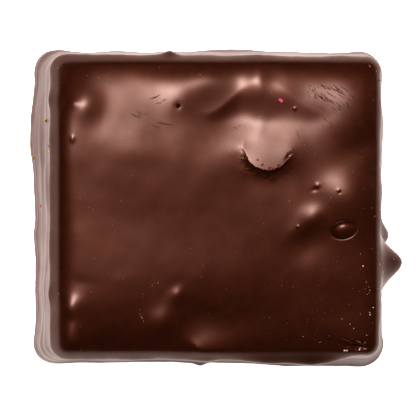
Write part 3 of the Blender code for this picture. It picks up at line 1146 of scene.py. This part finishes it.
@dataclass
class Dusting:
    """Every crumb and speck that lies on the coating, with a few pale dashes that are painted glints, as one
    piece for each kind.
    """

    seed: int = 7
    speck_count: int = 230
    speck_sizes: tuple[float, float] = (0.045, 0.105)
    gold_share: float = 0.35
    thinnest: float = 0.25  # the chance of a speck staying at the far left, where they lie thinnest
    front_pull: float = 0.4
    thickening: float = 24.0
    half_length: float = 18.3
    half_width: float = 16.8
    jag: float = 0.35
    sink: float = 0.25
    flatness: float = 0.8
    cluster_reach: float = 0.75
    coarse_size: float = 0.15  # a larger crumb takes a finer mesh
    arc_specks: int = 22
    arc_sizes: tuple[float, float] = (0.07, 0.14)
    arc_middle: tuple[float, float] = (-6.4, -11.6)
    arc_radii: tuple[float, float] = (2.5, 2.9)
    arc_span: tuple[float, float] = (95.0, 215.0)
    arc_stray: float = 0.08
    finishes: Sequence[GrainFinish] = (
        # The pale grain is sugar on the specks, and a painted glint on the pale dashes listed last.
        GrainFinish("pale_sugar", (0.72, 0.65, 0.60), (0.52, 0.44, 0.40)),
        GrainFinish("pink_sugar", (0.80, 0.24, 0.48), (0.62, 0.13, 0.33)),
        GrainFinish("gold_crumb", (0.60, 0.38, 0.13), (0.44, 0.24, 0.07)),
    )
    crumbs: Sequence[Crumb] = (
        Crumb(CrumbKind.PINK, 7.30, 12.25, 0.27, parts=8),
        Crumb(CrumbKind.PINK, 19.20, -6.50, 0.20),
        Crumb(CrumbKind.PINK, -10.64, 8.17, 0.16),
        Crumb(CrumbKind.PINK, -15.80, 1.04, 0.13),
        Crumb(CrumbKind.PINK, 18.60, -1.40, 0.15),
        Crumb(CrumbKind.PINK, -20.00, 0.10, 0.30, 4.0),
        Crumb(CrumbKind.GOLD, -20.00, 10.10, 0.30, 9.0, 1.6),
        Crumb(CrumbKind.GOLD, -18.95, 7.00, 0.28, 19.0, 2.2),
        Crumb(CrumbKind.GOLD, -20.00, 5.80, 0.30, 2.0),
        Crumb(CrumbKind.GOLD, -20.00, 7.20, 0.20, 1.6),
        Crumb(CrumbKind.GOLD, 8.30, 0.70, 0.20),
        Crumb(CrumbKind.GOLD, -15.00, 15.10, 0.15),
        Crumb(CrumbKind.GOLD, 18.10, -1.06, 0.17),
        Crumb(CrumbKind.GOLD, 17.50, -9.20, 0.16),
        Crumb(CrumbKind.GOLD, 17.50, -9.90, 0.16),
        Crumb(CrumbKind.GOLD, 17.80, -0.10, 0.13),
        Crumb(CrumbKind.GOLD, -4.30, 11.95, 0.11),
        Crumb(CrumbKind.GOLD, 2.10, -5.20, 0.12),
        Crumb(CrumbKind.PALE_AND_PAINTED_GLINT, -18.30, 16.00, 0.15),
        Crumb(CrumbKind.PALE_AND_PAINTED_GLINT, -11.10, 0.70, 0.10),
        Crumb(CrumbKind.PALE_AND_PAINTED_GLINT, 3.16, 10.00, 0.13),
        Crumb(CrumbKind.PALE_AND_PAINTED_GLINT, 13.05, 1.04, 0.13),
        Crumb(CrumbKind.PALE_AND_PAINTED_GLINT, 13.70, -1.84, 0.12),
        Crumb(CrumbKind.PALE_AND_PAINTED_GLINT, -14.50, -9.80, 0.12),
        Crumb(CrumbKind.PALE_AND_PAINTED_GLINT, -18.90, 6.40, 0.15, 19.4),
        Crumb(CrumbKind.PALE_AND_PAINTED_GLINT, 18.75, -0.30, 0.20),
        Crumb(CrumbKind.PALE_AND_PAINTED_GLINT, 18.50, -5.30, 0.13),
        Crumb(CrumbKind.PALE_AND_PAINTED_GLINT, 16.50, -5.40, 0.12),
        Crumb(CrumbKind.PALE_AND_PAINTED_GLINT, 16.80, -6.80, 0.24),
        Crumb(CrumbKind.PALE_AND_PAINTED_GLINT, 18.80, -6.60, 0.16),
        Crumb(CrumbKind.PALE_AND_PAINTED_GLINT, 19.20, -7.55, 0.20),
        Crumb(CrumbKind.PALE_AND_PAINTED_GLINT, 20.60, -6.06, 0.16),
        Crumb(CrumbKind.PALE_AND_PAINTED_GLINT, 17.20, -8.65, 0.14),
        Crumb(CrumbKind.PALE_AND_PAINTED_GLINT, 17.60, -9.60, 0.15),
        Crumb(CrumbKind.PALE_AND_PAINTED_GLINT, 17.30, -10.06, 0.14),
        Crumb(CrumbKind.PALE_AND_PAINTED_GLINT, 18.50, -9.40, 0.12),
        Crumb(CrumbKind.PALE_AND_PAINTED_GLINT, 14.90, -16.40, 0.30, parts=3),
        Crumb(CrumbKind.PALE_AND_PAINTED_GLINT, 16.60, -16.60, 0.26, parts=2),
        Crumb(CrumbKind.PALE_AND_PAINTED_GLINT, 18.00, -11.60, 0.20),
        Crumb(CrumbKind.PALE_AND_PAINTED_GLINT, 17.65, -12.40, 0.22),
        Crumb(CrumbKind.PALE_AND_PAINTED_GLINT, 17.60, -12.15, 0.14, stretch=2.0),
        # The seven pale dashes from here on are painted glints: bright grains that stand in for highlights
        # on the coating.
        Crumb(CrumbKind.PALE_AND_PAINTED_GLINT, 14.40, -12.90, 0.10, stretch=2.8),
        Crumb(CrumbKind.PALE_AND_PAINTED_GLINT, 15.35, -13.50, 0.17),
        Crumb(CrumbKind.PALE_AND_PAINTED_GLINT, 15.80, -14.00, 0.12, stretch=2.2),
        Crumb(CrumbKind.PALE_AND_PAINTED_GLINT, 17.30, -14.80, 0.16),
        Crumb(CrumbKind.PALE_AND_PAINTED_GLINT, 15.60, -15.20, 0.12),
        Crumb(CrumbKind.PALE_AND_PAINTED_GLINT, 9.95, -14.95, 0.09, stretch=2.5),
        Crumb(CrumbKind.PALE_AND_PAINTED_GLINT, 11.90, -15.60, 0.09, stretch=2.5),
    )

    def specks(self, chance: random.Random) -> list[Crumb]:
        """Scatters fine specks, the most of them near the right and the front, and along one dotted arc.

        Args:
            chance: The source of chance.

        Returns:
            The specks.
        """
        found = []
        while len(found) < self.speck_count:
            x = chance.uniform(-self.half_length, self.half_length)
            y = chance.uniform(-self.half_width, self.half_width)
            thicker = smooth_share(x - self.front_pull * y, 0.0, self.thickening)
            share = self.thinnest + (1 - self.thinnest) * thicker
            size = chance.uniform(*self.speck_sizes)
            kind = CrumbKind.GOLD if chance.random() < self.gold_share else CrumbKind.PALE_AND_PAINTED_GLINT
            if chance.random() < share:
                found.append(Crumb(kind, x, y, size))
        for step in range(self.arc_specks):
            turn = math.radians(self.arc_span[0] + chance.uniform(0, self.arc_span[1] - self.arc_span[0]))
            x = self.arc_middle[0] + self.arc_radii[0] * math.cos(turn)
            x += chance.uniform(-self.arc_stray, self.arc_stray)
            y = self.arc_middle[1] + self.arc_radii[1] * math.sin(turn)
            y += chance.uniform(-self.arc_stray, self.arc_stray)
            kind = CrumbKind.GOLD if step % 2 else CrumbKind.PALE_AND_PAINTED_GLINT
            found.append(Crumb(kind, x, y, chance.uniform(*self.arc_sizes)))
        return found

    def add_grain(self, mesh: bmesh.types.BMesh, crumb: Crumb, ground: Ground,
                  chance: random.Random) -> None:
        """Adds one crumb, as one or more jagged grains bedded in the coating.

        Args:
            mesh: The piece's shape so far.
            crumb: The crumb to add.
            ground: The surface that it lies on.
            chance: The source of chance.
        """
        for _ in range(crumb.parts):
            reach = self.cluster_reach * crumb.size if crumb.parts > 1 else 0.0
            x, y = crumb.x + chance.uniform(-reach, reach), crumb.y + chance.uniform(-reach, reach)
            spot, normal = ground.under(x, y) if crumb.z is None else ground.beside(y, crumb.z)
            turn = Quaternion(Vector((0, 0, 1)), chance.uniform(0, math.tau))
            lay = normal.to_track_quat("Z", "Y") @ turn
            size = Vector((crumb.size * crumb.stretch, crumb.size, self.flatness * crumb.size)) * MM / 2
            level = spot + normal * size.z * (1 - self.sink)
            bed = Matrix.LocRotScale(level, lay, size)
            fine = 2 if crumb.size > self.coarse_size else 1
            grain = bmesh.ops.create_icosphere(mesh, subdivisions=fine, radius=1.0)["verts"]
            for vert in grain:
                vert.co *= 1 - self.jag * chance.random()
            bmesh.ops.transform(mesh, matrix=bed, verts=grain)

    def build(self, ground: Ground) -> None:
        """Builds the three pieces.

        Args:
            ground: The surface that they lie on.
        """
        chance = random.Random(self.seed)
        crumbs = [*self.crumbs, *self.specks(chance)]
        for kind, finish in zip(CrumbKind, self.finishes):
            mesh = bmesh.new()
            for crumb in crumbs:
                if crumb.kind is kind:
                    self.add_grain(mesh, crumb, ground, chance)
            placed(mesh, f"{kind.name.lower()}_crumbs", finish.material())


@dataclass(frozen=True)
class Flake:
    """A small broken plate of chocolate, in millimetres, tilted up along its turned X side."""

    x: float
    y: float
    length: float
    width: float
    turn: float
    tilt: float


@dataclass(frozen=True)
class ScuffPatch:
    """A patch of short scratches, in millimetres and degrees."""

    x: float
    y: float
    half_length: float
    half_width: float
    count: int
    turn: float
    swing: float
    shortest: float
    longest: float


@dataclass
class Breakage:
    """Broken flakes at the lip, the front crack and the far right shoulder, and fine scratches."""

    seed: int = 11
    thick: float = 0.13
    corners: int = 9
    flake_jag: float = 0.4
    flake_taper: tuple[float, float] = (0.8, 0.7)
    scratch_width: float = 0.075
    scratch_tip: float = 0.25  # the share of its width that a scratch keeps at its ends
    scratch_steps: int = 14
    scratch_proud: float = 0.012
    scratch_deep: float = 0.03
    wander: float = 0.10
    wander_pace: float = 2.5
    broken: GrainFinish = GrainFinish(
        "broken_chocolate", (0.340, 0.165, 0.080), (0.140, 0.055, 0.024), 0.45)
    scuffed: GrainFinish = GrainFinish(
        "scuffed_chocolate", (0.110, 0.044, 0.024), (0.080, 0.030, 0.015), 0.60)
    flakes: Sequence[Flake] = (
        Flake(5.15, 4.85, 0.55, 0.26, 20, -18),
        Flake(6.10, 4.45, 0.75, 0.30, -5, -16),
        Flake(7.05, 4.80, 0.60, 0.28, 25, -18),
        Flake(7.75, 5.45, 0.50, 0.24, 50, -16),
        Flake(8.15, 6.25, 0.42, 0.20, 75, -14),
        Flake(4.60, 5.40, 0.35, 0.20, -30, -14),
        Flake(15.25, -15.55, 1.50, 0.18, -33, -30),
        Flake(14.60, -15.25, 0.80, 0.12, -25, -24),
        Flake(16.40, -15.60, 1.05, 0.26, -28, -34),
        Flake(17.10, -15.65, 0.66, 0.30, 48, -20),
        Flake(16.10, -16.50, 0.80, 0.14, -12, -10),
        Flake(17.60, 16.20, 0.60, 0.28, -20, 10),
        Flake(18.30, 15.60, 0.50, 0.24, -60, 12),
        Flake(18.70, 14.60, 0.45, 0.20, -80, 10),
    )
    patches: Sequence[ScuffPatch] = (
        ScuffPatch(13.6, 12.7, 2.2, 1.5, 30, -42, 14, 0.4, 1.7),
        ScuffPatch(11.2, 13.1, 1.0, 0.8, 16, -60, 45, 0.3, 0.8),
        ScuffPatch(14.2, 10.6, 1.9, 1.7, 20, -62, 25, 0.3, 1.0),
        ScuffPatch(-9.1, 10.6, 0.9, 0.35, 7, 20, 60, 0.35, 0.9),
        ScuffPatch(-6.4, 9.5, 1.6, 0.25, 3, -8, 6, 1.2, 2.4),
        ScuffPatch(9.8, 7.4, 0.7, 1.4, 6, -55, 25, 0.3, 0.7),
        ScuffPatch(2.1, 9.0, 0.5, 0.3, 4, 10, 60, 0.2, 0.4),
        ScuffPatch(-6.4, 12.2, 1.3, 0.5, 4, 5, 30, 0.4, 1.2),
    )

    def add_flake(self, mesh: bmesh.types.BMesh, flake: Flake, ground: Ground,
                  chance: random.Random) -> None:
        """Adds one flake: a ragged disc with thickness, tilted on the coating.

        Args:
            mesh: The piece's shape so far.
            flake: The flake to add.
            ground: The surface that it lies on.
            chance: The source of chance.
        """
        rim = bmesh.ops.create_circle(mesh, cap_ends=True, radius=0.5, segments=self.corners)["verts"]
        for vert in rim:
            vert.co *= 1 - self.flake_jag * chance.random()
        raised = bmesh.ops.extrude_face_region(mesh, geom=list(rim[0].link_faces))["geom"]
        roof = [part for part in raised if isinstance(part, bmesh.types.BMVert)]
        along, across = self.flake_taper
        for vert in roof:
            height = 1 - self.flake_jag * chance.random()
            vert.co = Vector((vert.co.x * along, vert.co.y * across, height))
        spot, normal = ground.under(flake.x, flake.y)
        lay = normal.to_track_quat("Z", "Y") @ Quaternion(Vector((0, 0, 1)), math.radians(flake.turn))
        lay = lay @ Quaternion(Vector((1, 0, 0)), math.radians(flake.tilt))
        size = Vector((flake.length, flake.width, self.thick)) * MM
        bmesh.ops.transform(mesh, matrix=Matrix.LocRotScale(spot, lay, size), verts=[*rim, *roof])

    def add_scratch(self, mesh: bmesh.types.BMesh, x: float, y: float, turn: float, length: float,
                    ground: Ground) -> None:
        """Adds one scratch: a thin wandering strip of scuffed chocolate.

        Args:
            mesh: The piece's shape so far.
            x: The scratch's middle along X, in millimetres.
            y: Its middle along Y.
            turn: Its direction, in degrees.
            length: Its length, in millimetres.
            ground: The surface that it lies on.
        """
        before = set(mesh.verts)
        bmesh.ops.create_grid(mesh, x_segments=self.scratch_steps, y_segments=1, size=0.5)
        strip = [vert for vert in mesh.verts if vert not in before]
        way = Vector((math.cos(math.radians(turn)), math.sin(math.radians(turn))))
        for vert in strip:
            share = vert.co.x + 0.5
            width = self.scratch_width * (self.scratch_tip
                                          + (1 - self.scratch_tip) * math.sin(math.pi * share))
            drift = self.wander * noise.noise(Vector((x, y, self.wander_pace * share * length)))
            aside = vert.co.y * width + drift
            place = Vector((x, y)) + way * vert.co.x * length + Vector((-way.y, way.x)) * aside
            spot, normal = ground.under(*place)
            vert.co = spot + normal * self.scratch_proud * MM
        faces = list({face for vert in strip for face in vert.link_faces})
        roof = bmesh.ops.extrude_face_region(mesh, geom=faces, use_keep_orig=True)["geom"]
        for part in roof:
            if isinstance(part, bmesh.types.BMVert):
                part.co.z -= self.scratch_deep * MM

    def build(self, ground: Ground) -> None:
        """Builds the flakes as one piece and the scratches as another.

        Args:
            ground: The surface that they lie on.
        """
        chance = random.Random(self.seed)
        mesh = bmesh.new()
        for flake in self.flakes:
            self.add_flake(mesh, flake, ground, chance)
        placed(mesh, "flakes", self.broken.material())
        mesh = bmesh.new()
        for patch in self.patches:
            for _ in range(patch.count):
                x = patch.x + chance.uniform(-patch.half_length, patch.half_length)
                y = patch.y + chance.uniform(-patch.half_width, patch.half_width)
                turn = patch.turn + chance.uniform(-patch.swing, patch.swing)
                self.add_scratch(mesh, x, y, turn, chance.uniform(patch.shortest, patch.longest), ground)
        placed(mesh, "scratches", self.scuffed.material())


@dataclass(frozen=True)
class TableFinish:
    """An over-lit white table top."""

    glow: float = 1.15
    glow_colour: tuple = (1.0, 1.0, 1.0, 1.0)
    colour: tuple = (0.85, 0.85, 0.85, 1.0)
    rough: float = 0.9

    def material(self) -> bpy.types.Material:
        """Makes the material.

        Returns:
            The material, with its nodes.
        """
        book = NodeBook("white_table")
        book.set(Base_Color=self.colour, Roughness=self.rough, Emission_Color=self.glow_colour,
                 Emission_Strength=self.glow, Specular_IOR_Level=0.0)
        return book.material


@dataclass(frozen=True)
class SoftLight:
    """A square soft light, placed by its bearing from +X and its height above the level, in degrees."""

    name: str
    bearing: float
    elevation: float
    distance: float
    side: float
    power: float
    colour: tuple

    def away(self) -> Vector:
        """Gives the direction from the sweet to the light.

        Returns:
            That direction, of length 1.
        """
        bearing, elevation = math.radians(self.bearing), math.radians(self.elevation)
        level = math.cos(elevation)
        return Vector((level * math.cos(bearing), level * math.sin(bearing), math.sin(elevation)))


@dataclass
class Studio:
    """The white table, the two soft lights, the dim room and the camera, at the photograph's angle."""

    coating: Coating
    view_side: float = PICTURE_PIXELS * PIXEL
    distance: float = 600 * MM
    tilt: float = 2.2
    aim_x: float = -1.09 * MM
    aim_y: float = -0.115 * MM
    sensor: float = 36.0
    nearest: float = 0.01
    farthest: float = 10.0
    table_side: float = 3.0
    key: SoftLight = SoftLight("key", 122.0, 75.0, 0.8, 0.14, 9.5, (1.0, 0.97, 0.96))
    fill: SoftLight = SoftLight("fill", 15.0, 38.0, 0.9, 0.6, 1.6, (1.0, 0.90, 0.86))
    display_gamma: float = 0.53
    room: tuple = (0.012, 0.012, 0.012, 1.0)
    horizon: tuple = (1.0, 1.0, 1.0, 1.0)

    def aim(self) -> Vector:
        """Gives the point of the top that the middle of the picture shows."""
        return Vector((self.aim_x, self.aim_y, self.coating.height)) + self.coating.shift

    def camera(self) -> None:
        """Places the camera almost straight above, a little to the left."""
        data = bpy.data.cameras.new("camera")
        data.sensor_width = self.sensor
        data.lens = self.sensor * self.distance / self.view_side
        data.clip_start, data.clip_end = self.nearest, self.farthest
        camera = linked("camera", data)
        tilt = math.radians(self.tilt)
        back = Vector((-math.sin(tilt), 0, math.cos(tilt)))
        camera.location = self.aim() + back * self.distance
        camera.rotation_euler = (0, -tilt, 0)
        bpy.context.scene.camera = camera

    def hang(self, light: SoftLight) -> None:
        """Hangs one light, aimed at the top.

        Args:
            light: The light to hang.
        """
        data = bpy.data.lights.new(light.name, "AREA")
        data.shape = "SQUARE"
        data.size = light.side
        data.energy = light.power
        data.color = light.colour
        lamp = linked(light.name, data)
        lamp.location = self.aim() + light.away() * light.distance
        lamp.rotation_euler = light.away().to_track_quat("Z", "Y").to_euler()
        lamp.visible_camera = False

    def table(self) -> bpy.types.Object:
        """Lays the white table under the sweet.

        Returns:
            The table's object.
        """
        mesh = bmesh.new()
        bmesh.ops.create_grid(mesh, x_segments=1, y_segments=1, size=self.table_side / 2)
        data = mesh_data("table", mesh)
        data.materials.append(TableFinish().material())
        return linked("table", data)

    def room_light(self) -> None:
        """Makes the room dim, but white where the camera looks past the table."""
        world = bpy.data.worlds.new("room")
        world.use_nodes = True
        bpy.context.scene.world = world
        tree = world.node_tree
        tree.nodes.clear()
        dim, pale = tree.nodes.new("ShaderNodeBackground"), tree.nodes.new("ShaderNodeBackground")
        dim.inputs["Color"].default_value = self.room
        pale.inputs["Color"].default_value = self.horizon
        seen = tree.nodes.new("ShaderNodeLightPath")
        mix = tree.nodes.new("ShaderNodeMixShader")
        out = tree.nodes.new("ShaderNodeOutputWorld")
        tree.links.new(seen.outputs["Is Camera Ray"], mix.inputs[0])
        tree.links.new(dim.outputs[0], mix.inputs[1])
        tree.links.new(pale.outputs[0], mix.inputs[2])
        tree.links.new(mix.outputs[0], out.inputs["Surface"])

    def build(self) -> None:
        """Builds the studio."""
        view = bpy.context.scene.view_settings
        view.view_transform = "Standard"
        view.gamma = self.display_gamma
        self.camera()
        self.hang(self.key)
        self.hang(self.fill)
        self.room_light()
        self.table()


def main() -> None:
    """Builds the sweet and the studio, and reports each piece."""
    logging.basicConfig(level=logging.INFO, format="%(name)s: %(message)s")
    coating = Coating()
    shell = coating.build()
    shell.data.materials.append(ChocolateFinish().material())
    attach(shell, BODY)
    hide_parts(NODE)
    log.info("%s: %d faces, shifted by %s", shell.name, len(shell.data.polygons), coating.shift / MM)
    ground = Ground(shell, coating.shift)
    Dusting().build(ground)
    Breakage().build(ground)
    Studio(coating).build()


if __name__ == "__main__":
    main()
